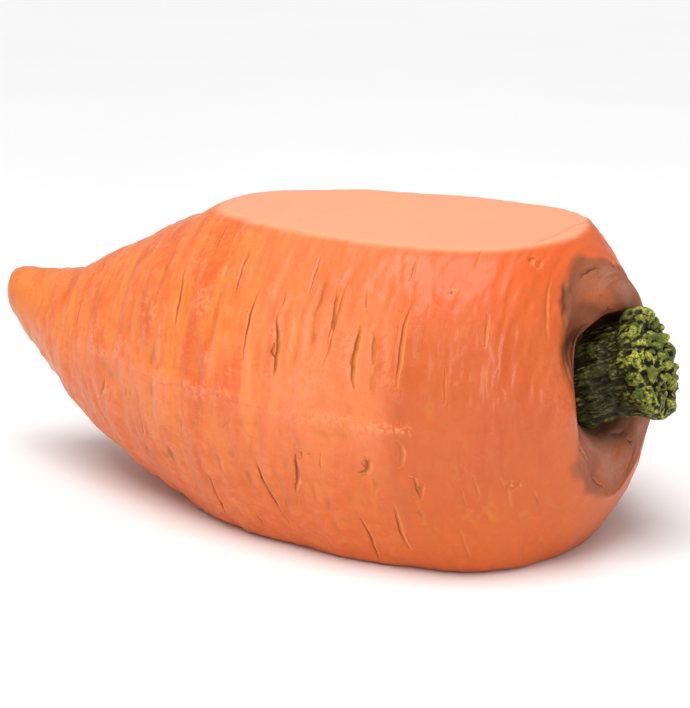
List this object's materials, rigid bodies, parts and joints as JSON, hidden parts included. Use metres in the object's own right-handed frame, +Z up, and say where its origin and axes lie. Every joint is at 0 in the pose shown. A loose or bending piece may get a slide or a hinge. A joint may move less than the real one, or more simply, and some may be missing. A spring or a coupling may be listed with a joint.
{
  "type": "carrot-shaped bench seat",
  "caption": "Bench seat shaped as a giant carrot lying on its side, with a flat sitting surface, a flat foot and a cut leaf-stalk stub at the crown.",
  "frame": {"origin": "on the floor, under the middle of the object's whole length and width", "axes": "+X from the carrot's tip to its crown, +Y across it, +Z up"},
  "size_m": [1.0626, 0.546, 0.43],
  "materials": {
    "painted_shell": "glass fibre laminate, hand painted orange in streaky glazes under a satin to gloss varnish",
    "raw_laminate": "unpainted glass fibre and resin, slightly translucent and fuzzy",
    "plywood": "raw exterior plywood with visible plies at the edges",
    "stalk_paint": "cast resin painted dark green with yellow-green dry brushing under varnish",
    "zinc_steel": "bright zinc plated"
  },
  "bodies": {
    "root": {"upper_shell": "painted_shell", "lower_shell": "painted_shell", "joint_strip": "raw_laminate", "seat_board": "plywood", "front_rib": "plywood", "crown_rib": "plywood", "base_board": "plywood", "base_screw_1": "zinc_steel", "base_screw_2": "zinc_steel", "base_screw_3": "zinc_steel", "base_screw_4": "zinc_steel", "base_screw_5": "zinc_steel", "base_screw_6": "zinc_steel", "stalk_stub": "stalk_paint", "stub_stud": "zinc_steel", "stub_washer": "zinc_steel", "stub_nut": "zinc_steel"}
  },
  "joints": []
}
